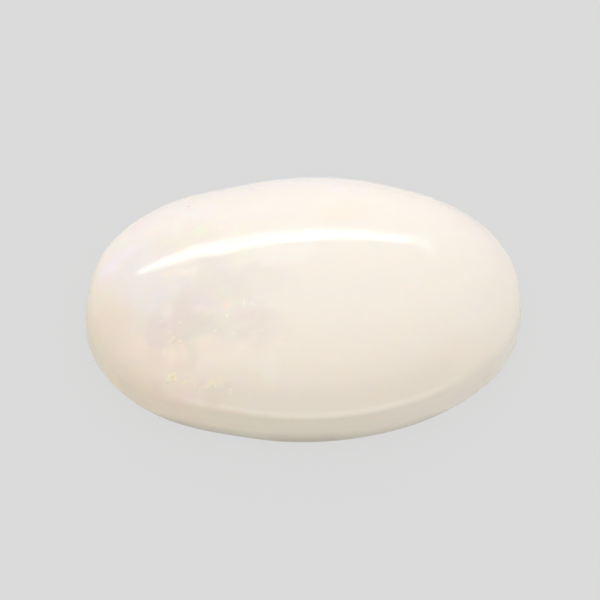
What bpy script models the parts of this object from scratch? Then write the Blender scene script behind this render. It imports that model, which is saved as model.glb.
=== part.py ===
"""A polished white opal cabochon, as one loose stone.

A low oval dome rises from a nearly upright girdle wall, which rounds in below to a flat back. The
stone was cut by hand, so its oval has four slight flats, and the top of its dome sits a little towards
+X. It stands on its flat back on the plane Z = 0, with the origin under the middle of its bounding box,
its length along X and its front towards -Y.
"""

import math

import bmesh
import bpy
from mathutils import Vector

MM = 0.001

# The oval, seen from above: a superellipse.
HALF_LENGTH = 8.02 * MM
HALF_WIDTH = 5.28 * MM
OVAL_POWER = 2.09

# Slight flats that hand grinding left on the oval. Each is the turn round the oval where it lies and
# its spread, both in degrees, and its depth as a share of the oval's radius.
HAND_FLATS = (
    (63.0, 12.0, 0.012),
    (108.0, 14.0, 0.026),
    (171.0, 12.0, 0.020),
    (250.0, 14.0, 0.022),
)

# Heights and edges of the cross-section.
RIDGE_HEIGHT = 2.04 * MM  # where dome and girdle wall would meet without their rounded shoulder
DOME_RISE = 2.50 * MM  # from that ridge to the top of the dome
DOME_EDGE = 0.93  # sine of the dome's half angle: nearer 1 is a steeper edge
SHOULDER_RADIUS = 0.60 * MM
GIRDLE_BULGE = 0.03 * MM  # how far the middle of the wall stands out past its edges
BACK_ROUND_HEIGHT = 0.90 * MM  # how high up the wall starts to round in to the flat back
BACK_ROUND_DEPTH = 0.40 * MM  # how far in it goes

# How far the top of the dome lies from the oval's middle, and the dome's skew along its length.
CROWN_SHIFT_X = 0.79 * MM
CROWN_SHIFT_Y = 0.15 * MM
CROWN_SKEW = 0.50 * MM
CROWN_EASE = 0.10  # share of the dome's rise over which the shift sets in

# Facets of the solid.
SEGMENTS = 96
DOME_RINGS = 15
SHOULDER_RINGS = 4
WALL_RINGS = 2
BACK_ROUND_RINGS = 5
SHARP_ANGLE = math.radians(30.0)

# White opal.
STONE_COLOUR = (0.88, 0.81, 0.70, 1.0)
STONE_ROUGHNESS = 0.08
STONE_IOR = 1.45

WALL_EDGE_RADIUS = HALF_WIDTH - GIRDLE_BULGE
HALF_ANGLE = math.asin(DOME_EDGE)
DOME_DEPTH_RADIUS = DOME_RISE / (1.0 - math.cos(HALF_ANGLE))


def signed_power(value, exponent):
    """Raise the size of a value to a power and keep its sign."""
    return math.copysign(abs(value) ** exponent, value)


def flat_factor(turn):
    """The share of the radius that the hand-ground flats leave at this turn, in degrees."""
    factor = 1.0
    for centre, spread, depth in HAND_FLATS:
        away = (turn - centre + 180.0) % 360.0 - 180.0
        factor -= depth * math.exp(-((away / spread) ** 2))
    return factor


def oval_point(turn):
    """A point of the full oval, at a turn in degrees."""
    angle = math.radians(turn)
    factor = flat_factor(turn)
    x = HALF_LENGTH * signed_power(math.cos(angle), 2.0 / OVAL_POWER)
    y = HALF_WIDTH * signed_power(math.sin(angle), 2.0 / OVAL_POWER)
    return Vector((x * factor, y * factor, 0.0))


def dome_point(angle):
    """Radius and height of the dome's section across the stone, at an angle from the top."""
    radius = HALF_WIDTH * math.sin(angle) / DOME_EDGE
    height = RIDGE_HEIGHT + DOME_DEPTH_RADIUS * (math.cos(angle) - math.cos(HALF_ANGLE))
    return radius, height


def dome_slope(angle):
    """The slope of that section, as the angle of its normal from the vertical."""
    return math.atan2(DOME_DEPTH_RADIUS * math.sin(angle), HALF_WIDTH * math.cos(angle) / DOME_EDGE)


def shoulder_start():
    """The dome's angle at which a round shoulder touches both the dome and the girdle wall."""
    low = 0.0
    high = HALF_ANGLE
    for _ in range(50):
        middle = 0.5 * (low + high)
        reach = WALL_EDGE_RADIUS - SHOULDER_RADIUS * (1.0 - math.sin(dome_slope(middle)))
        if dome_point(middle)[0] < reach:
            low = middle
        else:
            high = middle
    return low


def section():
    """The stone's section from near the top of the dome to the edge of its back: (radius, height)."""
    points = []
    start = shoulder_start()
    for ring in range(1, DOME_RINGS + 1):
        points.append(dome_point(start * ring / DOME_RINGS))

    slope = dome_slope(start)
    centre_radius = WALL_EDGE_RADIUS - SHOULDER_RADIUS
    centre_height = points[-1][1] - SHOULDER_RADIUS * math.cos(slope)
    for ring in range(1, SHOULDER_RINGS + 1):
        angle = slope + (math.pi / 2.0 - slope) * ring / SHOULDER_RINGS
        radius = centre_radius + SHOULDER_RADIUS * math.sin(angle)
        points.append((radius, centre_height + SHOULDER_RADIUS * math.cos(angle)))

    for ring in range(1, WALL_RINGS + 1):
        down = ring / WALL_RINGS
        radius = HALF_WIDTH - GIRDLE_BULGE * (2.0 * down - 1.0) ** 2
        points.append((radius, centre_height + (BACK_ROUND_HEIGHT - centre_height) * down))

    for ring in range(1, BACK_ROUND_RINGS + 1):
        angle = math.pi / 2.0 * ring / BACK_ROUND_RINGS
        radius = WALL_EDGE_RADIUS - BACK_ROUND_DEPTH * (1.0 - math.cos(angle))
        points.append((radius, BACK_ROUND_HEIGHT * (1.0 - math.sin(angle))))
    return points


def crown_share(height, dome_base):
    """How much of the crown's shift applies at a height: 0 at the foot of the dome, 1 at its top."""
    rise = max(0.0, height - dome_base) / (RIDGE_HEIGHT + DOME_RISE - dome_base)
    return rise * rise * (1.0 + CROWN_EASE) / (rise + CROWN_EASE)


def place(point, height, dome_base):
    """Lift a point of a ring to its height and shift it as the lopsided dome does."""
    share = crown_share(height, dome_base)
    skew = CROWN_SKEW * point.x / HALF_LENGTH
    return Vector((point.x + CROWN_SHIFT_X * share, point.y + (CROWN_SHIFT_Y + skew) * share, height))


def add_ring(bm, radius, height, dome_base):
    """One closed loop of vertices round the stone."""
    ring = []
    for segment in range(SEGMENTS):
        point = oval_point(360.0 * segment / SEGMENTS) * (radius / HALF_WIDTH)
        ring.append(bm.verts.new(place(point, height, dome_base)))
    return ring


def join_rings(bm, upper, lower):
    """A band of quads between two rings, facing out."""
    for here in range(SEGMENTS):
        after = (here + 1) % SEGMENTS
        bm.faces.new((upper[here], lower[here], lower[after], upper[after]))


def build_stone_mesh():
    """The closed stone: a fan at the top, bands down to the back's edge, and the flat back."""
    bm = bmesh.new()
    points = section()
    dome_base = dome_point(shoulder_start())[1]
    rings = [add_ring(bm, radius, height, dome_base) for radius, height in points]

    top = bm.verts.new(place(Vector((0.0, 0.0, 0.0)), RIDGE_HEIGHT + DOME_RISE, dome_base))
    for here in range(SEGMENTS):
        bm.faces.new((top, rings[0][here], rings[0][(here + 1) % SEGMENTS]))
    for upper, lower in zip(rings, rings[1:]):
        join_rings(bm, upper, lower)
    bm.faces.new(list(reversed(rings[-1])))

    middle_x = 0.5 * (min(v.co.x for v in bm.verts) + max(v.co.x for v in bm.verts))
    middle_y = 0.5 * (min(v.co.y for v in bm.verts) + max(v.co.y for v in bm.verts))
    bmesh.ops.translate(bm, verts=bm.verts[:], vec=Vector((-middle_x, -middle_y, 0.0)))

    mesh = bpy.data.meshes.new("opal_cabochon")
    bm.to_mesh(mesh)
    bm.free()
    mesh.shade_smooth()
    mesh.set_sharp_from_angle(angle=SHARP_ANGLE)
    return mesh


def opal_material():
    """Milky white opal with a polished surface."""
    material = bpy.data.materials.new("white_opal")
    material.use_nodes = True
    surface = material.node_tree.nodes["Principled BSDF"]
    surface.inputs["Base Color"].default_value = STONE_COLOUR
    surface.inputs["Roughness"].default_value = STONE_ROUGHNESS
    surface.inputs["Metallic"].default_value = 0.0
    surface.inputs["IOR"].default_value = STONE_IOR
    return material


def clear_scene():
    """Remove the objects that the scene already holds."""
    for thing in list(bpy.data.objects):
        bpy.data.objects.remove(thing, do_unlink=True)


def main():
    """Build the stone."""
    clear_scene()
    mesh = build_stone_mesh()
    mesh.materials.append(opal_material())
    stone = bpy.data.objects.new("opal_cabochon", mesh)
    bpy.context.scene.collection.objects.link(stone)


main()
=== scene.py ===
"""Looks of a polished white opal cabochon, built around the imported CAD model.

The stone is one piece: a fine mesh of the CAD solid's own form, with softer shoulders at its two ends
and the low waves that polishing by hand leaves. Its milky body colour, faint play of colour, veils and
bright flecks are one procedural material, in the stone's own coordinates. All lengths are in metres;
the material works in millimetres.
"""

import math

import bpy
import numpy as np
from mathutils import Matrix, Vector, noise


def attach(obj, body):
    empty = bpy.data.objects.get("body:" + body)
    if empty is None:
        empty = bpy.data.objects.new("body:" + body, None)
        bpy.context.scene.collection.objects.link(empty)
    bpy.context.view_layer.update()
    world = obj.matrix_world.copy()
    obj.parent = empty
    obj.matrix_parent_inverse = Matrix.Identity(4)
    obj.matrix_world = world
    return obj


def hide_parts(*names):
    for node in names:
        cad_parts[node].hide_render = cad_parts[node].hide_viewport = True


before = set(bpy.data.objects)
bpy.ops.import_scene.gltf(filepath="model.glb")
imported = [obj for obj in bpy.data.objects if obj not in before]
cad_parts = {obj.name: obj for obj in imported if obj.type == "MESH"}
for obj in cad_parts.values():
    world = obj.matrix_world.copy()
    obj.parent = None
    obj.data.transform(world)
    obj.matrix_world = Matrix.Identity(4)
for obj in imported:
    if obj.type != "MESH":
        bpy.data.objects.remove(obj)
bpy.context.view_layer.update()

MM = 0.001
NODE = "opal_cabochon"
PIECE = "opal_stone"

# ---------------------------------------------------------------- form, close to the CAD solid's
HALF_LENGTH = 8.02 * MM
HALF_WIDTH = 5.28 * MM
OVAL_POWER = 2.09  # 2 would be an ellipse; more is squarer
# Slight flats that hand grinding left on the oval: the turn round the oval where each lies and how far
# it spreads, in degrees, and the share of the radius that it takes off. The last one adds instead.
HAND_FLATS = (
    (63.0, 12.0, 0.012),
    (108.0, 14.0, 0.026),
    (171.0, 12.0, 0.012),
    (250.0, 14.0, 0.022),
    (338.0, 15.0, -0.010),
)
RIDGE_HEIGHT = 2.04 * MM  # where the dome would meet the girdle wall if no shoulder rounded it
DOME_RISE = 2.50 * MM
DOME_EDGE = 0.93  # the sine of the dome's angle at its foot
SHOULDER_RADIUS = 0.60 * MM
# Where the shoulder is softer: the turn in degrees, the added radius and how narrow the place is.
SOFT_SHOULDERS = (
    (196.0, 1.40 * MM, 2.0),
    (352.0, 0.60 * MM, 4.0),
)
SHOULDER_HALVINGS = 50
GIRDLE_BULGE = 0.03 * MM  # how far the middle of the wall stands out past its edges
BACK_ROUND_HEIGHT = 0.90 * MM  # how high up the wall starts to round in to the flat back
BACK_ROUND_DEPTH = 0.40 * MM
# How far the top of the dome lies off centre, how the shift grows along X, and how gently it starts.
CROWN_SHIFT_X = 0.79 * MM
CROWN_SHIFT_Y = 0.15 * MM
CROWN_SKEW = 0.50 * MM
CROWN_EASE = 0.10
STONE_HEIGHT = RIDGE_HEIGHT + DOME_RISE
WALL_EDGE_RADIUS = HALF_WIDTH - GIRDLE_BULGE
HALF_ANGLE = math.asin(DOME_EDGE)
DOME_DEPTH_RADIUS = DOME_RISE / (1.0 - math.cos(HALF_ANGLE))

# Fineness of the mesh: squares across the dome and the back, and rings down the side.
GRID = 160
SHOULDER_RINGS = 12
WALL_RINGS = 8
BACK_ROUND_RINGS = 12
SHARP_ANGLE = math.radians(40.0)

# Low waves from hand polishing.
WAVE_HEIGHT = 0.008 * MM
WAVE_LENGTH = 3.2 * MM

# ---------------------------------------------------------------- the opal's material, in millimetres
# A span is where something fades in or out: a range of X, of Y or of a noise's value. A pair of heights
# is one too, upwards.
BODY_COLOUR = (0.921, 0.844, 0.759)
BACK_WHITE = (0.947, 0.860, 0.784)
BACK_WHITE_SPAN = (-1.0, 3.2)
FOOT_CREAM = (0.917, 0.828, 0.725)
FOOT_CREAM_SPAN = (-4.3, -1.4)

# The girdle wall from left to right, and how high it reaches along the front and at the two ends.
# Its colours are partly the wall's own tan, olive and rose and partly painted shade, darker than the
# body along the front, with painted light at the two ends.
END_CREAM = (0.955, 0.835, 0.668)
END_CREAM_SPAN = (-7.5, -6.4)
WALL_TAN = (0.865, 0.752, 0.606)
WALL_OLIVE = (0.820, 0.756, 0.632)
WALL_OLIVE_SPAN = (-6.0, -0.5)
WALL_ROSE = (0.858, 0.795, 0.692)
WALL_ROSE_SPAN = (1.0, 5.0)
END_ROSE = (0.945, 0.872, 0.768)
END_ROSE_SPAN = (6.4, 7.4)
WALL_FRONT_SPANS = ((-6.4, -4.0), (4.4, 6.5))
WALL_HEIGHTS = (1.90, 2.10)
END_WALL_HEIGHTS = (0.80, 3.10)

# The wall's lower edge carries painted shade near the floor: dim along the front and hardly dim at
# the two ends. The shade is deepest at a place near the middle and paler at one to its right, each
# fully up to a distance and fading beyond it. The mirror strength follows the same front spans.
EDGE_SHADE_COLOUR = (0.560, 0.525, 0.440)
EDGE_HEIGHTS = (0.25, 1.10)
EDGE_FRONT_SPANS = ((-6.7, -4.3), (3.6, 6.2))
EDGE_DEEP_SHADE = (0.510, 0.477, 0.392)
EDGE_DEEP_TOP = 1.27
EDGE_DEEP_PLACE = -0.15
EDGE_DEEP_REACH = (0.7, 1.7)
EDGE_PALE_SHADE = (0.635, 0.595, 0.510)
EDGE_LIGHT_PLACE = 3.2
EDGE_LIGHT_REACH = (0.6, 1.7)
END_EDGE_TOP = 0.62
END_EDGE_SHARE = 0.12

# Along the front ridge: a duller band of painted shade above it and a pale line of painted highlight
# on it, each with its height, its reach, its colour and its strength.
RIDGE_SHADE_AND_HIGHLIGHT = (
    (2.58, 0.75, (0.868, 0.792, 0.692), 0.9),
    (2.17, 0.16, (0.962, 0.858, 0.745), 1.0),
)
RIDGE_FRONT_SPAN = (-2.6, -1.4)
RIDGE_END_SPANS = ((-5.4, -2.8), (4.0, 6.4))

# The flat back: two colours mottled by a noise, up to a low height on the stone's side. A noise has its
# scale, its detail and its roughness.
BACK_CREAM = (0.88, 0.78, 0.66)
BACK_POTCH = (0.74, 0.66, 0.57)
BACK_TOP = (0.02, 0.12)
BACK_NOISE = (0.9, 5.0, 0.6)
BACK_MOTTLE = (0.38, 0.62)

# A swirl, which moves the patches' outlines about, has its scale and its reach.
SWIRL_DETAIL = 2.0
SWIRL_ROUGHNESS = 0.5
CLOUD_SWIRL = (1.1, 0.45)
MARK_SWIRL = (3.2, 0.14)
FLECK_SWIRL = (9.0, 0.05)

# The colour varies in patches and in threads along the stone, each by an amount at the plain right and
# one at the busy left, and by red, green and blue.
BUSY_SPAN = (-3.5, 1.5)
PATCHY_SWIRL = (0.8, 0.5)
PATCHY_NOISE = (1.3, 3.0, 0.55)
PATCHY_AMOUNTS = (0.045, 0.13)
THREAD_STRETCH = (0.8, 4.0, 4.0)
THREAD_SWIRL = (0.6, 0.5)
THREAD_NOISE = (1.2, 4.0, 0.6)
THREAD_AMOUNTS = (0.015, 0.05)
VARIATION_CHANNELS = (0.55, 0.80, 1.0)

# The streaks that tear the veils: their turn, the scale along and across them, and the share of a veil
# that shows where they are thin and where they are dense.
SMOKE_TURN = math.radians(16.0)
SMOKE_STRETCH = (0.8, 2.2)
SMOKE_SWIRL = (0.9, 0.45)
SMOKE_NOISE = (1.3, 3.0, 0.5)
SMOKE_DENSITY = (0.32, 0.64)
SMOKE_COVER = (0.62, 1.0)

# The polish, slightly smeared, and the ground back with its scratches.
SMEAR_NOISE = (0.7, 3.0, 0.5)
SMEAR_SPAN = (0.35, 0.65)
POLISH_ROUGHNESS = (0.06, 0.10)
BACK_ROUGHNESS = 0.38
SCRATCH_STRETCH = (0.5, 14.0, 1.0)
SCRATCH_NOISE = (1.0, 3.0, 0.5)
SCRATCH_DEPTH = 0.01 * MM

# The mirror strength is low at the wall's foot, up to a greater height at the two ends.
FOOT_SHINE = 0.02
FULL_SHINE = 0.50
FOOT_SHINE_HEIGHTS = (0.30, 1.40)
END_SHINE_HEIGHTS = (1.90, 3.40)
OPAL_IOR = 1.45

# Light scatters inside the milky stone, red furthest.
SCATTER_SHARE = 0.7
SCATTER_CHANNELS = (1.0, 0.85, 0.65)
SCATTER_REACH = 0.8 * MM

# Patches: name, centre in X and Y, half length and half width, turn in degrees, colour and strength.
# The firmer a kind of patch, the more of it is at full strength; below 0, none of it is.
# Clouds are broad and soft, with wandering outlines.
CLOUD_FIRMNESS = -0.5
CLOUDS = (
    ("dusk", (-4.0, -0.7), (4.6, 2.6), 0, (0.838, 0.790, 0.720), 0.90),
    ("rose rim behind", (0.4, 4.7), (4.8, 1.6), 0, (1.000, 0.862, 0.840), 1.0),
    ("peach crown", (1.70, 2.30), (1.6, 0.75), 4, (0.955, 0.815, 0.712), 0.8),
    ("rose left shoulder", (-6.1, 3.3), (3.6, 1.5), 34, (0.945, 0.828, 0.798), 1.0),
    ("rose right shoulder", (6.6, 2.4), (3.4, 1.6), -38, (0.930, 0.824, 0.775), 1.0),
    # a painted glow of light just below the lamp's bright line on the dome
    ("painted glow below highlight", (-1.0, 0.35), (1.9, 0.70), 4, (0.972, 0.896, 0.818), 0.9),
    ("cool left shoulder", (-6.1, 1.1), (1.9, 1.4), 20, (0.870, 0.812, 0.788), 1.0),
    ("green-gold shoulder", (-4.3, 1.7), (1.8, 1.0), 8, (0.878, 0.812, 0.710), 1.0),
    ("white hollow", (-5.6, -0.5), (1.7, 1.3), 0, (0.855, 0.808, 0.775), 1.0),
    ("pink left rim", (-7.4, 0.9), (0.9, 1.3), 0, (0.946, 0.826, 0.792), 0.9),
    ("tan left end", (-7.6, -1.0), (1.6, 2.2), 0, (0.852, 0.745, 0.612), 1.0),
    ("peach foot", (-5.8, -3.3), (3.4, 1.7), -30, (0.948, 0.793, 0.666), 1.0),
    ("rose foot", (-3.0, -4.5), (2.4, 0.9), 0, (0.980, 0.816, 0.710), 0.9),
    ("cream foot", (-2.9, -3.4), (2.6, 0.9), 0, (0.968, 0.836, 0.732), 1.0),
)

# Veils are smoky, torn into streaks by a noise.
VEIL_FIRMNESS = -0.3
VEILS = (
    ("tan hollow", (-6.6, -1.45), (1.2, 1.3), 0, (0.862, 0.745, 0.648), 0.8),
    ("rose hollow", (-6.0, -1.9), (0.9, 0.8), 0, (0.880, 0.772, 0.722), 0.35),
    ("mauve heart", (-4.65, -1.9), (1.20, 1.25), 0, (0.838, 0.722, 0.668), 1.0),
    ("mauve core", (-5.43, -2.10), (0.54, 1.20), 4, (0.820, 0.722, 0.674), 0.90),
    ("brown column", (-4.25, -1.75), (0.75, 1.30), -10, (0.832, 0.722, 0.668), 1.0),
    ("grey veil", (-3.4, -0.85), (1.9, 0.85), 12, (0.840, 0.765, 0.702), 1.0),
    ("grey veil tail", (-2.1, -0.80), (1.7, 0.85), 8, (0.858, 0.806, 0.732), 1.0),
    ("olive veil", (-3.75, -2.20), (1.4, 0.70), 4, (0.802, 0.742, 0.655), 1.0),
    ("olive veil tail", (-2.1, -2.40), (1.8, 0.90), 0, (0.845, 0.768, 0.690), 1.0),
)

# Marks are smaller, with clearer outlines.
MARK_FIRMNESS = -0.25
MARKS = (
    ("green patch", (-3.70, 1.88), (0.40, 0.50), 0, (0.885, 0.892, 0.738), 0.85),
    ("green wisp", (-4.78, 1.60), (0.50, 0.22), 8, (0.895, 0.860, 0.728), 0.60),
    ("lavender haze", (-6.45, 1.55), (0.75, 0.45), 30, (0.932, 0.866, 0.850), 0.85),
    ("lavender patch", (-6.98, 1.15), (0.66, 0.46), 40, (0.926, 0.848, 0.885), 1.0),
    ("blue wisp", (-7.05, 0.95), (0.30, 0.20), 0, (0.915, 0.845, 0.885), 0.65),
    ("pale rim", (-7.20, 1.45), (0.26, 0.22), 30, (0.960, 0.868, 0.845), 0.60),
    ("orange flash", (-4.78, 0.14), (0.50, 0.26), 8, (0.952, 0.836, 0.748), 0.75),
    ("yellow flash", (-4.32, 0.02), (0.44, 0.26), 0, (0.950, 0.862, 0.752), 0.70),
    ("rose flash", (-3.95, 0.06), (0.32, 0.30), 0, (0.960, 0.834, 0.775), 0.65),
    ("umber flash", (-3.45, 0.10), (0.60, 0.72), 10, (0.856, 0.792, 0.702), 0.75),
    ("salmon patch", (-2.84, -1.58), (0.27, 0.22), 0, (0.960, 0.775, 0.712), 0.95),
    ("salmon wisp", (-3.85, -1.50), (0.36, 0.24), 8, (0.945, 0.812, 0.750), 0.60),
    ("grey mauve", (-5.28, -2.40), (0.46, 0.42), 0, (0.860, 0.745, 0.692), 0.70),
    ("mauve foot", (-5.50, -2.90), (0.40, 0.50), 0, (0.900, 0.766, 0.700), 0.75),
    ("rose spot", (-6.15, -2.65), (0.62, 0.55), -20, (0.942, 0.778, 0.698), 0.70),
    ("pale spot", (-4.95, -1.40), (0.30, 0.42), 0, (0.935, 0.812, 0.752), 0.70),
    ("tan spot", (-3.65, -2.88), (0.75, 0.45), 0, (0.925, 0.790, 0.690), 0.70),
    ("tan shadow", (-4.42, -3.48), (0.55, 0.30), 0, (0.895, 0.770, 0.672), 0.70),
    ("green veil", (-2.30, -1.55), (0.55, 0.38), 10, (0.870, 0.818, 0.732), 0.75),
    ("olive wisp", (-4.12, -3.14), (0.34, 0.64), 0, (0.838, 0.773, 0.672), 0.62),
    ("green grey", (-2.85, -0.80), (0.38, 0.22), 0, (0.855, 0.812, 0.745), 0.80),
    ("shell", (-4.86, -3.06), (0.46, 0.46), 0, (0.948, 0.808, 0.712), 1.0),
    ("shell core", (-4.84, -3.10), (0.25, 0.30), 10, (0.975, 0.862, 0.712), 0.85),
    ("gold haze", (-3.30, -3.98), (0.55, 0.22), 0, (0.990, 0.845, 0.672), 0.75),
    ("gold haze left", (-4.12, -3.92), (0.40, 0.18), 0, (0.975, 0.845, 0.685), 0.65),
    ("rose spot foot", (-2.34, -3.20), (0.40, 0.32), 0, (0.975, 0.830, 0.755), 0.60),
    ("pale foot", (-1.30, -3.85), (0.50, 0.80), 0, (0.970, 0.865, 0.785), 0.60),
    ("tan ridge", (-4.90, -4.05), (1.10, 0.36), -14, (0.960, 0.808, 0.662), 0.70),
    ("rose ridge", (-3.39, -4.43), (0.60, 0.34), 0, (0.868, 0.752, 0.645), 0.75),
    ("straw mark", (-0.93, -3.10), (0.26, 0.14), 0, (0.960, 0.872, 0.735), 0.60),
    ("tan mark", (3.20, -2.87), (0.34, 0.28), 0, (0.955, 0.846, 0.705), 0.80),
    ("lilac mark", (1.76, -3.60), (0.24, 0.20), 0, (0.930, 0.835, 0.775), 0.60),
    ("rose mark", (0.85, -3.65), (0.50, 0.20), 0, (0.968, 0.840, 0.750), 0.60),
    ("straw veil", (1.30, 2.20), (0.90, 0.32), 0, (0.958, 0.872, 0.748), 0.60),
    ("peach veil", (2.25, 2.00), (0.48, 0.30), 0, (0.968, 0.852, 0.762), 0.60),
    ("white lilac", (1.42, 3.60), (0.40, 0.30), 0, (0.970, 0.885, 0.860), 0.80),
    ("peach right", (3.85, -1.00), (0.34, 0.18), 0, (0.968, 0.850, 0.745), 0.60),
)

# Flecks are the small bright glints and the dark specks.
FLECK_FIRMNESS = 0.10
FLECKS = (
    ("gold cluster", (-4.85, -3.68), (0.175, 0.160), 0, (0.990, 0.835, 0.600), 0.95),
    ("gold crescent", (-4.97, -3.64), (0.060, 0.110), -10, (1.000, 0.890, 0.685), 1.0),
    ("gold side", (-4.74, -3.75), (0.055, 0.065), 0, (1.000, 0.882, 0.730), 0.95),
    ("gold crown", (-4.77, -3.60), (0.080, 0.050), 0, (1.000, 0.868, 0.640), 0.95),
    ("gold heart", (-4.86, -3.68), (0.050, 0.045), 0, (0.890, 0.765, 0.520), 0.90),
    ("gold foot", (-4.83, -3.80), (0.090, 0.035), 0, (0.875, 0.735, 0.560), 0.80),
    ("cluster glint", (-5.07, -3.71), (0.060, 0.050), 0, (1.000, 0.875, 0.735), 0.90),
    ("cluster shade", (-5.03, -3.79), (0.080, 0.040), -20, (0.860, 0.735, 0.620), 0.80),
    ("streak start", (-4.42, -3.90), (0.16, 0.060), 0, (0.985, 0.838, 0.655), 0.85),
    ("streak dot", (-4.03, -4.05), (0.045, 0.040), 0, (1.000, 0.885, 0.755), 1.0),
    ("streak tail", (-3.97, -4.16), (0.030, 0.090), 0, (0.910, 0.765, 0.620), 0.70),
    ("streak left", (-3.74, -4.13), (0.12, 0.060), 0, (0.990, 0.840, 0.670), 0.70),
    ("streak", (-3.48, -4.08), (0.26, 0.100), 8, (1.000, 0.860, 0.675), 0.90),
    ("streak glint", (-3.31, -4.17), (0.045, 0.055), 0, (1.000, 0.900, 0.790), 1.0),
    ("streak shade", (-3.22, -4.00), (0.030, 0.130), -10, (0.930, 0.800, 0.630), 0.60),
    ("drop", (-2.78, -4.33), (0.050, 0.045), 0, (1.000, 0.895, 0.780), 1.0),
    ("drop tail", (-2.78, -4.41), (0.020, 0.070), 0, (1.000, 0.870, 0.745), 0.80),
    ("drop shade", (-2.89, -4.15), (0.110, 0.050), -40, (0.890, 0.765, 0.625), 0.70),
    ("shell left lobe", (-5.14, -2.86), (0.12, 0.20), 20, (0.948, 0.822, 0.722), 0.85),
    ("shell right lobe", (-4.47, -2.98), (0.16, 0.26), 8, (0.928, 0.812, 0.705), 0.85),
    ("shell rim", (-4.36, -3.00), (0.040, 0.19), 10, (0.950, 0.835, 0.745), 0.35),
    ("shell gap", (-4.56, -3.14), (0.030, 0.13), 8, (0.930, 0.790, 0.670), 0.70),
    ("shell foot", (-4.90, -3.36), (0.17, 0.10), 0, (0.985, 0.842, 0.708), 0.35),
    ("shell foot shade", (-4.36, -3.38), (0.13, 0.050), -10, (0.910, 0.760, 0.655), 0.80),
    ("shell crown shade", (-4.68, -2.34), (0.22, 0.060), -8, (0.850, 0.728, 0.660), 0.70),
    ("shell shade", (-4.74, -2.58), (0.18, 0.055), 28, (0.855, 0.705, 0.605), 0.95),
    ("shell shade low", (-4.53, -2.67), (0.16, 0.030), -12, (0.880, 0.722, 0.630), 0.95),
    ("shell shade foot", (-4.53, -2.85), (0.14, 0.030), -5, (0.915, 0.770, 0.665), 0.80),
    ("shell rib", (-4.83, -2.47), (0.210, 0.085), 32, (0.930, 0.785, 0.712), 1.0),
    ("shell glint", (-4.55, -2.60), (0.120, 0.075), -20, (0.950, 0.792, 0.692), 1.0),
    ("shell rib low", (-4.50, -2.75), (0.170, 0.058), -8, (0.940, 0.800, 0.708), 0.95),
    ("salmon glint", (-2.83, -1.95), (0.055, 0.060), 0, (0.970, 0.885, 0.775), 1.0),
    ("dash", (-2.20, -1.55), (0.045, 0.18), 0, (0.955, 0.905, 0.785), 0.95),
    ("hook", (-1.93, -1.60), (0.065, 0.038), -35, (0.965, 0.900, 0.790), 0.85),
    ("hook foot", (-1.80, -1.68), (0.085, 0.032), 10, (0.955, 0.890, 0.780), 0.85),
    ("far wisp", (-1.42, -1.78), (0.090, 0.030), 0, (0.965, 0.885, 0.785), 0.60),
    ("mauve glint", (-4.54, -1.94), (0.055, 0.070), -20, (0.960, 0.842, 0.765), 0.75),
    ("mauve glint left", (-5.19, -1.74), (0.055, 0.060), 0, (0.945, 0.825, 0.740), 0.60),
    ("rose glint", (-4.90, -2.23), (0.070, 0.045), 0, (0.965, 0.830, 0.750), 0.50),
    ("light thread", (-3.27, -2.43), (0.100, 0.035), 40, (0.975, 0.870, 0.765), 0.80),
    ("light thread right", (-2.62, -2.62), (0.130, 0.028), 0, (0.985, 0.885, 0.770), 0.80),
    ("white speck", (-2.05, -4.47), (0.030, 0.030), 0, (0.990, 0.900, 0.800), 0.60),
    ("brown speck", (-0.18, -3.53), (0.060, 0.030), 0, (0.860, 0.780, 0.660), 0.70),
    ("dark pit", (-4.08, 3.45), (0.090, 0.040), 0, (0.760, 0.660, 0.640), 0.80),
)

# ---------------------------------------------------------------- camera and light
CAMERA_ELEVATION = math.radians(57.0)
CAMERA_AZIMUTH = math.radians(-2.0)
CAMERA_DISTANCE = 0.250
CAMERA_AIM = Vector((-0.12 * MM, -0.12 * MM, 2.05 * MM))
CAMERA_LENS = 411.1
CAMERA_CLIP = (0.01, 20.0)
SENSOR_WIDTH = 36.0

# The strip lamp behind the stone, whose reflection is the bright line on the dome.
STRIP_PLACE = Vector((-0.0293, 0.1885, 0.1715))
STRIP_DIRECTION = Vector((0.993, 0.054, 0.107))
STRIP_LENGTH = 0.375
STRIP_WIDTH = 0.080
STRIP_RADIANCE = 5.7
# Along the lamp from its left end: where it fades in, is brighter, dims and fades out.
STRIP_FADES_IN = (0.112, 0.132)
STRIP_LEFT_END = (0.17, 0.30)
STRIP_LEFT_BOOST = 1.6
STRIP_DIMS = (0.825, 0.86)
STRIP_DIM_SHARE = 0.38
STRIP_FADES_OUT = (0.955, 1.0)
# The outline of the lamp's bright part: places along it and, of its width, the far and the near edge.
STRIP_FAR_EDGE = (
    (0.10, 0.73), (0.15, 0.675), (0.18, 0.630), (0.21, 0.64), (0.26, 0.65), (0.31, 0.80), (0.36, 0.73),
    (0.42, 0.77), (0.56, 0.77), (0.62, 0.67), (0.66, 0.68), (0.72, 0.62), (0.79, 0.59), (0.86, 0.80),
    (0.90, 0.82), (0.945, 0.54), (0.975, 0.34),
)
STRIP_NEAR_EDGE = (
    (0.10, 0.60), (0.15, 0.57), (0.18, 0.505), (0.21, 0.46), (0.26, 0.355), (0.31, 0.300), (0.35, 0.21),
    (0.38, 0.14), (0.43, 0.24), (0.50, 0.28), (0.57, 0.28), (0.62, 0.28), (0.66, 0.23), (0.75, 0.21),
    (0.86, 0.25), (0.90, 0.26), (0.945, 0.10), (0.975, 0.00),
)
# Across the bright part, from its near edge (0) to its far edge (1): where it fades, and how dim its
# far side is.
STRIP_NEAR_FADE = (-0.12, 0.16)
STRIP_FAR_FADE = (0.78, 1.18)
STRIP_FAR_SIDE = (0.40, 0.80)
STRIP_FAR_SHARE = 0.70

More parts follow.
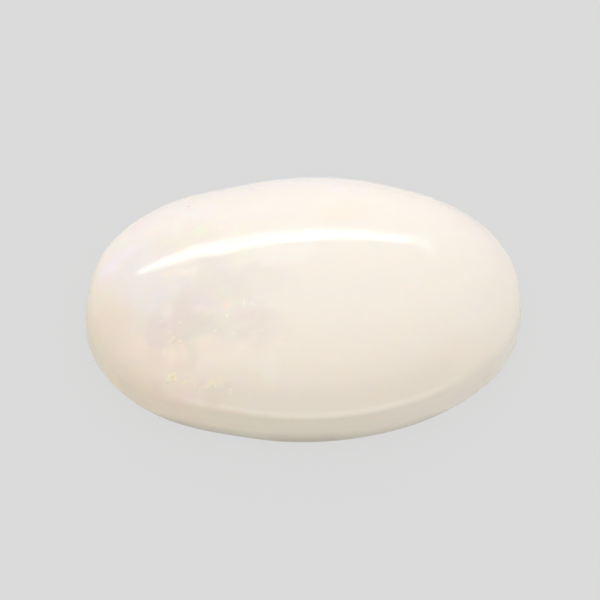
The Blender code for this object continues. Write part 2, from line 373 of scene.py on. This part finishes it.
# Soft sky: the light's direction as azimuth from the front (towards +X positive) and elevation in
# degrees, its radiance and its tightness.
SKY_BASE = 0.28
SKY_LOBES = (
    ("overhead", 0.0, 90.0, 0.40, 3.0),
    ("front", 0.0, 50.0, 0.56, 3.0),
    ("front_left", -45.0, 45.0, 0.27, 3.0),
    ("right", 90.0, 25.0, 0.31, 3.0),
    ("back", 180.0, 12.0, 0.59, 3.0),
    ("back_high", 180.0, 50.0, 0.25, 3.0),
)

# A low bright band in front, just over the horizon: its top as the sine of its elevation, its radiance.
HORIZON_BAND_TOP = 0.12
HORIZON_BAND = 0.7
HORIZON_BAND_POWER = 2.0

# The floor glows softly, because the photo's ground is evenly pale and has no shadow.
FLOOR_RADIUS = 3.0
FLOOR_SIDES = 128
FLOOR_COLOUR = (0.09, 0.09, 0.09, 1.0)
FLOOR_ROUGHNESS = 0.9
FLOOR_GLOW = 0.627
WHITE = (1.0, 1.0, 1.0, 1.0)


# ---------------------------------------------------------------- stone mesh
def signed_power(value, exponent):
    """Raise the size of each value to a power and keep its sign."""
    return np.sign(value) * np.abs(value) ** exponent


def oval_points(turns):
    """Points of the full oval at turns in degrees, as X and Y arrays."""
    angle = np.radians(turns)
    factor = np.ones_like(turns)
    for centre, spread, depth in HAND_FLATS:
        away = (turns - centre + 180.0) % 360.0 - 180.0
        factor -= depth * np.exp(-((away / spread) ** 2))
    x = HALF_LENGTH * signed_power(np.cos(angle), 2.0 / OVAL_POWER) * factor
    y = HALF_WIDTH * signed_power(np.sin(angle), 2.0 / OVAL_POWER) * factor
    return x, y


def dome_section(angle):
    """Radius and height of the dome's section across the stone, at angles from the top."""
    radius = HALF_WIDTH * np.sin(angle) / DOME_EDGE
    height = RIDGE_HEIGHT + DOME_DEPTH_RADIUS * (np.cos(angle) - math.cos(HALF_ANGLE))
    return radius, height


def dome_slope(angle):
    """The angle of the section's normal from the vertical."""
    return np.arctan2(DOME_DEPTH_RADIUS * np.sin(angle), HALF_WIDTH * np.cos(angle) / DOME_EDGE)


def shoulder_radii(turns):
    """The round shoulder's radius at turns in degrees: firm along the front, softer at the two ends."""
    radii = np.full_like(turns, SHOULDER_RADIUS)
    for centre, extra, tightness in SOFT_SHOULDERS:
        facing = np.maximum(0.0, np.cos(np.radians(turns - centre)))
        radii += extra * facing ** tightness
    return radii


def shoulder_starts(radii):
    """The dome's angle at which each round shoulder touches both the dome and the girdle wall."""
    low = np.zeros_like(radii)
    high = np.full_like(radii, HALF_ANGLE)
    for _ in range(SHOULDER_HALVINGS):
        middle = 0.5 * (low + high)
        reach = WALL_EDGE_RADIUS - radii * (1.0 - np.sin(dome_slope(middle)))
        inside = dome_section(middle)[0] < reach
        low = np.where(inside, middle, low)
        high = np.where(inside, high, middle)
    return low


# The dome's foot, where it meets the firmest shoulder.
DOME_BASE = float(dome_section(shoulder_starts(np.array([SHOULDER_RADIUS])))[1][0])


def side_section(turns):
    """Radius and height of the rings below the dome: shoulder, girdle wall and rounded back edge."""
    points = []
    radii = shoulder_radii(turns)
    starts = shoulder_starts(radii)
    slope = dome_slope(starts)
    centre_radius = WALL_EDGE_RADIUS - radii
    centre_height = dome_section(starts)[1] - radii * np.cos(slope)
    for ring in range(1, SHOULDER_RINGS + 1):
        angle = slope + (math.pi / 2.0 - slope) * ring / SHOULDER_RINGS
        points.append((centre_radius + radii * np.sin(angle), centre_height + radii * np.cos(angle)))
    wall_height = centre_height - BACK_ROUND_HEIGHT
    bulge = GIRDLE_BULGE * (wall_height / wall_height.max()) ** 2
    for ring in range(1, WALL_RINGS + 1):
        down = ring / WALL_RINGS
        radius = WALL_EDGE_RADIUS + bulge * math.sin(math.pi * down) ** 2
        points.append((radius, centre_height - wall_height * down))
    for ring in range(1, BACK_ROUND_RINGS + 1):
        angle = math.pi / 2.0 * ring / BACK_ROUND_RINGS
        radius = WALL_EDGE_RADIUS - BACK_ROUND_DEPTH * (1.0 - math.cos(angle))
        points.append((radius, np.full_like(turns, BACK_ROUND_HEIGHT * (1.0 - math.sin(angle)))))
    return points


def shift_crown(x, y, height):
    """Shift points as the lopsided dome does, by their height above its foot."""
    rise = np.maximum(0.0, height - DOME_BASE) / (STONE_HEIGHT - DOME_BASE)
    share = rise * rise * (1.0 + CROWN_EASE) / (rise + CROWN_EASE)
    skew = CROWN_SKEW * x / HALF_LENGTH
    return x + CROWN_SHIFT_X * share, y + (CROWN_SHIFT_Y + skew) * share


def disc_grid():
    """Turn in degrees and share of the radius for a square grid that is drawn out to a disc."""
    steps = np.linspace(-1.0, 1.0, GRID + 1)
    u, v = np.meshgrid(steps, steps)
    share = np.maximum(np.abs(u), np.abs(v))
    safe = np.where(share > 0.0, share, 1.0)
    along_x = np.abs(u) >= np.abs(v)
    quarter = np.where(along_x, 45.0 * v / safe * np.sign(u), 90.0 - 45.0 * u / safe * np.sign(v))
    opposite = np.where(along_x, u < 0.0, v < 0.0)
    turn = quarter + np.where(opposite, 180.0, 0.0)
    return turn.ravel() % 360.0, share.ravel()


def rim_indices():
    """The grid's outer vertices in order round the disc, anticlockwise seen from above."""
    side = GRID + 1
    bottom = list(range(GRID))
    right = [row * side + GRID for row in range(GRID)]
    top = [GRID * side + column for column in range(GRID, 0, -1)]
    left = [row * side for row in range(GRID, 0, -1)]
    return bottom + right + top + left


def grid_faces(offset, upward):
    """Quads of one grid whose vertices start at an offset, facing up or down."""
    side = GRID + 1
    faces = []
    for row in range(GRID):
        for column in range(GRID):
            corner = offset + row * side + column
            quad = (corner, corner + 1, corner + side + 1, corner + side)
            faces.append(quad if upward else quad[::-1])
    return faces


def band_faces(upper, lower):
    """Quads between two closed loops of vertices, facing out."""
    count = len(upper)
    return [
        (upper[here], lower[here], lower[(here + 1) % count], upper[(here + 1) % count])
        for here in range(count)
    ]


def stone_vertices():
    """All the stone's vertices: the dome's grid, the side's rings, then the back's grid."""
    turn, share = disc_grid()
    full_x, full_y = oval_points(turn)
    radius, height = dome_section(shoulder_starts(shoulder_radii(turn)) * share)
    scale = radius / HALF_WIDTH
    x, y = shift_crown(full_x * scale, full_y * scale, height)
    blocks = [np.column_stack((x, y, height))]

    rim = rim_indices()
    for ring_radius, ring_height in side_section(turn[rim])[:-1]:
        scale = ring_radius / HALF_WIDTH
        x, y = shift_crown(full_x[rim] * scale, full_y[rim] * scale, ring_height)
        blocks.append(np.column_stack((x, y, ring_height)))

    back_scale = share * (WALL_EDGE_RADIUS - BACK_ROUND_DEPTH) / HALF_WIDTH
    blocks.append(np.column_stack((full_x * back_scale, full_y * back_scale, np.zeros_like(share))))
    return np.concatenate(blocks)


def stone_faces():
    """All the stone's quads, as one closed surface."""
    rim = rim_indices()
    grid_count = (GRID + 1) ** 2
    ring_count = SHOULDER_RINGS + WALL_RINGS + BACK_ROUND_RINGS - 1
    faces = grid_faces(0, True)
    upper = rim
    for ring in range(ring_count):
        first = grid_count + ring * len(rim)
        lower = list(range(first, first + len(rim)))
        faces += band_faces(upper, lower)
        upper = lower
    back_offset = grid_count + ring_count * len(rim)
    faces += band_faces(upper, [back_offset + index for index in rim])
    faces += grid_faces(back_offset, False)
    return faces


def wave_stone(mesh):
    """Lift and sink the polished surface by low waves; the flat back stays flat."""
    moved = []
    for vertex in mesh.vertices:
        place = vertex.co / WAVE_LENGTH
        polished = min(1.0, vertex.co.z / BACK_ROUND_HEIGHT)
        moved.append(vertex.co + vertex.normal * (noise.noise(place) * WAVE_HEIGHT * polished))
    for vertex, place in zip(mesh.vertices, moved):
        vertex.co = place


def centre_on_base(vertices):
    """Put the middle of the bounding box over the origin, as in the CAD solid."""
    low = vertices.min(axis=0)
    high = vertices.max(axis=0)
    vertices[:, 0] -= 0.5 * (low[0] + high[0])
    vertices[:, 1] -= 0.5 * (low[1] + high[1])
    return vertices


def make_stone():
    """The stone as one object."""
    mesh = bpy.data.meshes.new(PIECE)
    mesh.from_pydata(centre_on_base(stone_vertices()).tolist(), [], stone_faces())
    mesh.update()
    wave_stone(mesh)
    mesh.update()
    mesh.shade_smooth()
    mesh.set_sharp_from_angle(angle=SHARP_ANGLE)
    stone = bpy.data.objects.new(PIECE, mesh)
    bpy.context.scene.collection.objects.link(stone)
    return stone


# ---------------------------------------------------------------- node helpers
RANGE_SOCKETS = ("From Min", "From Max", "To Min", "To Max")
NOISE_MIDDLE = (0.5, 0.5, 0.5)


def feed(tree, socket, value):
    """Link a socket to another, or set it to a plain value."""
    if isinstance(value, bpy.types.NodeSocket):
        tree.links.new(value, socket)
    else:
        socket.default_value = value


def math_node(tree, operation, first, second=None):
    """A Math node's output."""
    node = tree.nodes.new("ShaderNodeMath")
    node.operation = operation
    feed(tree, node.inputs[0], first)
    if second is not None:
        feed(tree, node.inputs[1], second)
    return node.outputs[0]


def vector_node(tree, operation, first, second=None, scale=None):
    """A Vector Math node's output: a number for a dot product, a vector otherwise."""
    node = tree.nodes.new("ShaderNodeVectorMath")
    node.operation = operation
    feed(tree, node.inputs[0], first)
    if second is not None:
        feed(tree, node.inputs[1], second)
    if scale is not None:
        feed(tree, node.inputs["Scale"], scale)
    return node.outputs["Value" if operation == "DOT_PRODUCT" else "Vector"]


def map_range(tree, value, low, high, out_low, out_high, smooth=True):
    """A Map Range node's output, clamped and smooth by default."""
    node = tree.nodes.new("ShaderNodeMapRange")
    node.interpolation_type = "SMOOTHSTEP" if smooth else "LINEAR"
    node.clamp = True
    feed(tree, node.inputs["Value"], value)
    for name, number in zip(RANGE_SOCKETS, (low, high, out_low, out_high)):
        feed(tree, node.inputs[name], number)
    return node.outputs["Result"]


def rise(tree, value, span):
    """0 below a span of a value, 1 above it."""
    return map_range(tree, value, *span, 0.0, 1.0)


def fall(tree, value, span):
    """1 below a span of a value, 0 above it."""
    return map_range(tree, value, *span, 1.0, 0.0)


def between(tree, value, spans):
    """1 between two spans of a value, fading to 0 over each."""
    rising, falling = spans
    return math_node(tree, "MULTIPLY", rise(tree, value, rising), fall(tree, value, falling))


def distance(tree, value, place):
    """How far a value is from a place."""
    return math_node(tree, "ABSOLUTE", math_node(tree, "SUBTRACT", value, place))


def blend(tree, share, start, end, smooth=True):
    """A number between two others, as far as a share says."""
    return map_range(tree, share, 0.0, 1.0, start, end, smooth)


def mix_colours(tree, factor, first, second):
    """The first colour, covered by the second as far as the factor says."""
    node = tree.nodes.new("ShaderNodeMix")
    node.data_type = "RGBA"
    node.clamp_factor = True
    feed(tree, node.inputs[0], factor)
    sockets = [socket for socket in node.inputs if socket.type == "RGBA"]
    for socket, colour in zip(sockets, (first, second)):
        feed(tree, socket, colour if isinstance(colour, bpy.types.NodeSocket) else (*colour, 1.0))
    return next(socket for socket in node.outputs if socket.type == "RGBA")


def split_point(tree, point):
    """The X, Y and Z of a point."""
    split = tree.nodes.new("ShaderNodeSeparateXYZ")
    tree.links.new(point, split.inputs[0])
    return split.outputs


def noise_outputs(tree, point, scale, detail, roughness):
    """The outputs of a Noise Texture node."""
    node = tree.nodes.new("ShaderNodeTexNoise")
    tree.links.new(point, node.inputs["Vector"])
    node.inputs["Scale"].default_value = scale
    node.inputs["Detail"].default_value = detail
    node.inputs["Roughness"].default_value = roughness
    return node.outputs


def warp(tree, point, swirl):
    """A point moved about in swirls of a scale, by up to about a reach."""
    scale, reach = swirl
    colour = noise_outputs(tree, point, scale, SWIRL_DETAIL, SWIRL_ROUGHNESS)["Color"]
    centred = vector_node(tree, "SUBTRACT", colour, NOISE_MIDDLE)
    return vector_node(tree, "ADD", point, vector_node(tree, "SCALE", centred, scale=2.0 * reach))


# ---------------------------------------------------------------- material
def lay_patches(tree, point, colour, patches, firmness, torn=None):
    """Lay oval patches over a colour, each firm over a share of its area and fading out beyond it.

    Where torn is given, the patches show only as far as it says.
    """
    for _, centre, (half_length, half_width), turn, patch_colour, strength in patches:
        cosine = math.cos(math.radians(turn))
        sine = math.sin(math.radians(turn))
        long_axis = (cosine / half_length, sine / half_length, 0.0)
        short_axis = (-sine / half_width, cosine / half_width, 0.0)
        offset = vector_node(tree, "SUBTRACT", point, (*centre, 0.0))
        along = vector_node(tree, "DOT_PRODUCT", offset, long_axis)
        across = vector_node(tree, "DOT_PRODUCT", offset, short_axis)
        square = math_node(tree, "MULTIPLY", along, along)
        square = math_node(tree, "ADD", square, math_node(tree, "MULTIPLY", across, across))
        cover = map_range(tree, square, firmness, 1.0, strength, 0.0)
        if torn is not None:
            cover = math_node(tree, "MULTIPLY", cover, torn)
        colour = mix_colours(tree, cover, colour, patch_colour)
    return colour


def vary_colour(tree, colour, noise_colour, amount):
    """Brighten and dim the colour's channels by a coloured noise, each on its own."""
    centred = vector_node(tree, "SUBTRACT", noise_colour, NOISE_MIDDLE)
    weighted = vector_node(tree, "MULTIPLY", centred, VARIATION_CHANNELS)
    change = vector_node(tree, "SCALE", weighted, scale=amount)
    return vector_node(tree, "MULTIPLY", colour, vector_node(tree, "ADD", change, (1.0, 1.0, 1.0)))


def smoke(tree, flat):
    """Streaks of smoke that rise to the right, from thin to dense."""
    cosine = math.cos(SMOKE_TURN)
    sine = math.sin(SMOKE_TURN)
    along_scale, across_scale = SMOKE_STRETCH
    streaks = tree.nodes.new("ShaderNodeCombineXYZ")
    along = vector_node(tree, "DOT_PRODUCT", flat, (along_scale * cosine, along_scale * sine, 0.0))
    across = vector_node(tree, "DOT_PRODUCT", flat, (-across_scale * sine, across_scale * cosine, 0.0))
    tree.links.new(along, streaks.inputs["X"])
    tree.links.new(across, streaks.inputs["Y"])
    density = noise_outputs(tree, warp(tree, streaks.outputs[0], SMOKE_SWIRL), *SMOKE_NOISE)["Fac"]
    return map_range(tree, density, *SMOKE_DENSITY, *SMOKE_COVER)


def body_colour(tree, y):
    """The plain milky body: whiter behind, warmer at the front foot."""
    colour = mix_colours(tree, rise(tree, y, BACK_WHITE_SPAN), BODY_COLOUR, BACK_WHITE)
    return mix_colours(tree, fall(tree, y, FOOT_CREAM_SPAN), colour, FOOT_CREAM)


def paint_edge_shade(tree, wall, x, height):
    """The girdle wall with painted shade along its lower edge, near the floor."""
    middle = between(tree, x, EDGE_FRONT_SPANS)
    deep = fall(tree, distance(tree, x, EDGE_DEEP_PLACE), EDGE_DEEP_REACH)
    light = fall(tree, distance(tree, x, EDGE_LIGHT_PLACE), EDGE_LIGHT_REACH)
    bottom, front_top = EDGE_HEIGHTS
    top = blend(tree, middle, END_EDGE_TOP, blend(tree, deep, front_top, EDGE_DEEP_TOP))
    edge = mix_colours(tree, deep, EDGE_SHADE_COLOUR, EDGE_DEEP_SHADE)
    edge = mix_colours(tree, light, edge, EDGE_PALE_SHADE)
    share = blend(tree, middle, END_EDGE_SHARE, 1.0)
    return mix_colours(tree, map_range(tree, height, bottom, top, share, 0.0), wall, edge)


def wall_tone_light_and_shade(tree, colour, x, height):
    """The girdle wall below the ridge: cream and tan at the left, olive in front, rose at the right.

    Its own tones, with painted shade along the front and painted light at the two ends.
    """
    wall = mix_colours(tree, rise(tree, x, WALL_OLIVE_SPAN), WALL_TAN, WALL_OLIVE)
    wall = mix_colours(tree, rise(tree, x, WALL_ROSE_SPAN), wall, WALL_ROSE)
    wall = mix_colours(tree, fall(tree, x, END_CREAM_SPAN), wall, END_CREAM)
    wall = mix_colours(tree, rise(tree, x, END_ROSE_SPAN), wall, END_ROSE)
    # painted shade along the wall's lower edge, near the floor
    wall = paint_edge_shade(tree, wall, x, height)
    front = between(tree, x, WALL_FRONT_SPANS)
    heights = [
        blend(tree, front, end_height, front_height, smooth=False)
        for end_height, front_height in zip(END_WALL_HEIGHTS, WALL_HEIGHTS)
    ]
    return mix_colours(tree, fall(tree, height, heights), colour, wall)


def paint_ridge_shade_and_highlight(tree, colour, x, y, height):
    """The painted shade above the front ridge and the painted highlight line on it, which fade at both
    ends.
    """
    front = fall(tree, y, RIDGE_FRONT_SPAN)
    front = math_node(tree, "MULTIPLY", front, between(tree, x, RIDGE_END_SPANS))
    for level, reach, band_colour, strength in RIDGE_SHADE_AND_HIGHLIGHT:
        cover = map_range(tree, distance(tree, height, level), 0.0, reach, strength, 0.0)
        colour = mix_colours(tree, math_node(tree, "MULTIPLY", front, cover), colour, band_colour)
    return colour


def opal_colour(tree, point, is_back):
    """The milky body with its play of colour, veils, flecks, ridge and wall, and the mottled back."""
    x, y, height = split_point(tree, point)
    flat = vector_node(tree, "MULTIPLY", point, (1.0, 1.0, 0.0))
    cloud_point = warp(tree, flat, CLOUD_SWIRL)
    mark_point = warp(tree, flat, MARK_SWIRL)
    fleck_point = warp(tree, flat, FLECK_SWIRL)
    colour = body_colour(tree, y)
    colour = lay_patches(tree, cloud_point, colour, CLOUDS, CLOUD_FIRMNESS)
    # painted shade above the front ridge and a painted highlight line on it
    colour = paint_ridge_shade_and_highlight(tree, colour, x, y, height)
    colour = lay_patches(tree, cloud_point, colour, VEILS, VEIL_FIRMNESS, smoke(tree, flat))
    colour = lay_patches(tree, mark_point, colour, MARKS, MARK_FIRMNESS)
    colour = lay_patches(tree, fleck_point, colour, FLECKS, FLECK_FIRMNESS)
    # the girdle wall: its own tones with painted shade in front and painted light at the ends
    colour = wall_tone_light_and_shade(tree, colour, x, height)
    mottle = rise(tree, noise_outputs(tree, point, *BACK_NOISE)["Fac"], BACK_MOTTLE)
    colour = mix_colours(tree, is_back, colour, mix_colours(tree, mottle, BACK_CREAM, BACK_POTCH))
    busy = fall(tree, x, BUSY_SPAN)
    patchy = noise_outputs(tree, warp(tree, point, PATCHY_SWIRL), *PATCHY_NOISE)["Color"]
    colour = vary_colour(tree, colour, patchy, blend(tree, busy, *PATCHY_AMOUNTS))
    threads = warp(tree, vector_node(tree, "MULTIPLY", point, THREAD_STRETCH), THREAD_SWIRL)
    threads = noise_outputs(tree, threads, *THREAD_NOISE)["Color"]
    return vary_colour(tree, colour, threads, blend(tree, busy, *THREAD_AMOUNTS))


def opal_roughness(tree, point, is_back):
    """The slightly smeared polish, and the matt back."""
    smear = noise_outputs(tree, point, *SMEAR_NOISE)["Fac"]
    polish = map_range(tree, smear, *SMEAR_SPAN, *POLISH_ROUGHNESS)
    return math_node(tree, "MAXIMUM", polish, math_node(tree, "MULTIPLY", is_back, BACK_ROUGHNESS))


def opal_bump(tree, point, is_back):
    """The fine scratches that grinding left on the back."""
    stretched = vector_node(tree, "MULTIPLY", point, SCRATCH_STRETCH)
    bump = tree.nodes.new("ShaderNodeBump")
    bump.inputs["Distance"].default_value = SCRATCH_DEPTH
    tree.links.new(noise_outputs(tree, stretched, *SCRATCH_NOISE)["Fac"], bump.inputs["Height"])
    tree.links.new(is_back, bump.inputs["Strength"])
    return bump.outputs["Normal"]


def opal_shine(tree, x, height):
    """The mirror strength: low at the wall's foot, where the photo shows no reflection."""
    middle = between(tree, x, EDGE_FRONT_SPANS)
    heights = [
        blend(tree, middle, end_height, front_height)
        for end_height, front_height in zip(END_SHINE_HEIGHTS, FOOT_SHINE_HEIGHTS)
    ]
    return map_range(tree, height, *heights, FOOT_SHINE, FULL_SHINE)


def opal_material():
    """The polished milky opal, with its ground back."""
    material = bpy.data.materials.new("white_opal")
    material.use_nodes = True
    tree = material.node_tree
    surface = tree.nodes["Principled BSDF"]
    object_point = tree.nodes.new("ShaderNodeTexCoord").outputs["Object"]
    point = vector_node(tree, "SCALE", object_point, scale=1.0 / MM)
    x, _, height = split_point(tree, point)
    is_back = fall(tree, height, BACK_TOP)
    for name, output in (
        ("Base Color", opal_colour(tree, point, is_back)),
        ("Roughness", opal_roughness(tree, point, is_back)),
        ("Normal", opal_bump(tree, point, is_back)),
        ("Specular IOR Level", opal_shine(tree, x, height)),
    ):
        tree.links.new(output, surface.inputs[name])
    surface.inputs["IOR"].default_value = OPAL_IOR
    surface.inputs["Subsurface Weight"].default_value = SCATTER_SHARE
    surface.inputs["Subsurface Radius"].default_value = SCATTER_CHANNELS
    surface.inputs["Subsurface Scale"].default_value = SCATTER_REACH
    return material


# ---------------------------------------------------------------- surroundings
def direction(azimuth, elevation):
    """The unit vector at an azimuth from the front, positive towards +X, and an elevation."""
    level = math.cos(elevation)
    return Vector((math.sin(azimuth) * level, -math.cos(azimuth) * level, math.sin(elevation)))


def make_camera():
    """The camera, at the angle from which the photo sees the stone."""
    data = bpy.data.cameras.new("camera")
    data.lens = CAMERA_LENS
    data.sensor_width = SENSOR_WIDTH
    data.clip_start, data.clip_end = CAMERA_CLIP
    camera = bpy.data.objects.new("camera", data)
    back = direction(CAMERA_AZIMUTH, CAMERA_ELEVATION)
    camera.location = CAMERA_AIM + back * CAMERA_DISTANCE
    camera.rotation_euler = back.to_track_quat("Z", "Y").to_euler()
    bpy.context.scene.collection.objects.link(camera)
    bpy.context.scene.camera = camera


def edge_curve(tree, along, points):
    """A Float Curve node through points, read at a place along the lamp."""
    node = tree.nodes.new("ShaderNodeFloatCurve")
    curve = node.mapping.curves[0]
    curve.points[0].location = points[0]
    curve.points[-1].location = points[-1]
    for point in points[1:-1]:
        curve.points.new(*point)
    node.mapping.update()
    tree.links.new(along, node.inputs["Value"])
    return node.outputs["Value"]


def shape_strip(data):
    """Give the lamp's bright part its outline, with soft edges and ends."""
    data.use_nodes = True
    tree = data.node_tree
    emission = next(node for node in tree.nodes if node.type == "EMISSION")
    place = tree.nodes.new("ShaderNodeNewGeometry").outputs["Parametric"]
    along, across, _ = split_point(tree, place)
    strength = rise(tree, along, STRIP_FADES_IN)
    near = edge_curve(tree, along, STRIP_NEAR_EDGE)
    width = math_node(tree, "SUBTRACT", edge_curve(tree, along, STRIP_FAR_EDGE), near)
    share = math_node(tree, "DIVIDE", math_node(tree, "SUBTRACT", across, near), width)
    for value, span, out_low, out_high in (
        (along, STRIP_LEFT_END, STRIP_LEFT_BOOST, 1.0),
        (along, STRIP_DIMS, 1.0, STRIP_DIM_SHARE),
        (along, STRIP_FADES_OUT, 1.0, 0.0),
        (share, STRIP_NEAR_FADE, 0.0, 1.0),
        (share, STRIP_FAR_FADE, 1.0, 0.0),
        (share, STRIP_FAR_SIDE, 1.0, STRIP_FAR_SHARE),
    ):
        change = map_range(tree, value, *span, out_low, out_high)
        strength = math_node(tree, "MULTIPLY", strength, change)
    tree.links.new(strength, emission.inputs["Strength"])


def make_strip(stone):
    """The long soft lamp behind the stone, which draws the bright line on the dome."""
    data = bpy.data.lights.new("strip", "AREA")
    data.shape = "RECTANGLE"
    data.size = STRIP_LENGTH
    data.size_y = STRIP_WIDTH
    area = STRIP_LENGTH * STRIP_WIDTH
    data.energy = STRIP_RADIANCE * area * math.pi
    shape_strip(data)
    lamp = bpy.data.objects.new("strip", data)
    lamp.location = STRIP_PLACE
    out = STRIP_PLACE.normalized()
    along = (STRIP_DIRECTION - out * STRIP_DIRECTION.dot(out)).normalized()
    across = out.cross(along)
    rotation = Matrix((along, across, out)).transposed()
    lamp.rotation_euler = rotation.to_euler()
    lamp.visible_camera = False
    bpy.context.scene.collection.objects.link(lamp)
    receivers = bpy.data.collections.new("lit_by_strip")
    receivers.objects.link(stone)
    lamp.light_linking.receiver_collection = receivers


def make_world():
    """Soft sky light, as a low base, a few broad lobes and a low bright band in front."""
    world = bpy.data.worlds.new("studio")
    world.use_nodes = True
    tree = world.node_tree
    background = tree.nodes["Background"]
    background.inputs["Color"].default_value = WHITE
    ray = tree.nodes.new("ShaderNodeTexCoord").outputs["Generated"]
    total = SKY_BASE
    for _, azimuth, elevation, radiance, tightness in SKY_LOBES:
        towards = direction(math.radians(azimuth), math.radians(elevation))
        facing = math_node(tree, "MAXIMUM", vector_node(tree, "DOT_PRODUCT", ray, towards), 0.0)
        lobe = math_node(tree, "MULTIPLY", math_node(tree, "POWER", facing, tightness), radiance)
        total = math_node(tree, "ADD", lobe, total)
    _, y, z = split_point(tree, ray)
    low = map_range(tree, z, 0.0, HORIZON_BAND_TOP, HORIZON_BAND, 0.0)
    front = math_node(tree, "MAXIMUM", math_node(tree, "MULTIPLY", y, -1.0), 0.0)
    band = math_node(tree, "MULTIPLY", low, math_node(tree, "POWER", front, HORIZON_BAND_POWER))
    tree.links.new(math_node(tree, "ADD", total, band), background.inputs["Strength"])
    bpy.context.scene.world = world


def make_floor():
    """The plain pale floor."""
    bpy.ops.mesh.primitive_circle_add(vertices=FLOOR_SIDES, radius=FLOOR_RADIUS, fill_type="NGON")
    floor = bpy.context.object
    floor.name = "floor"
    material = bpy.data.materials.new("pale_card")
    material.use_nodes = True
    surface = material.node_tree.nodes["Principled BSDF"]
    surface.inputs["Base Color"].default_value = FLOOR_COLOUR
    surface.inputs["Roughness"].default_value = FLOOR_ROUGHNESS
    surface.inputs["Specular IOR Level"].default_value = 0.0
    surface.inputs["Emission Color"].default_value = WHITE
    surface.inputs["Emission Strength"].default_value = FLOOR_GLOW
    floor.data.materials.append(material)


make_camera()
stone = make_stone()
stone.data.materials.append(opal_material())
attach(stone, "root")
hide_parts(NODE)
make_strip(stone)
make_world()
make_floor()
bpy.context.scene.view_settings.view_transform = "Standard"
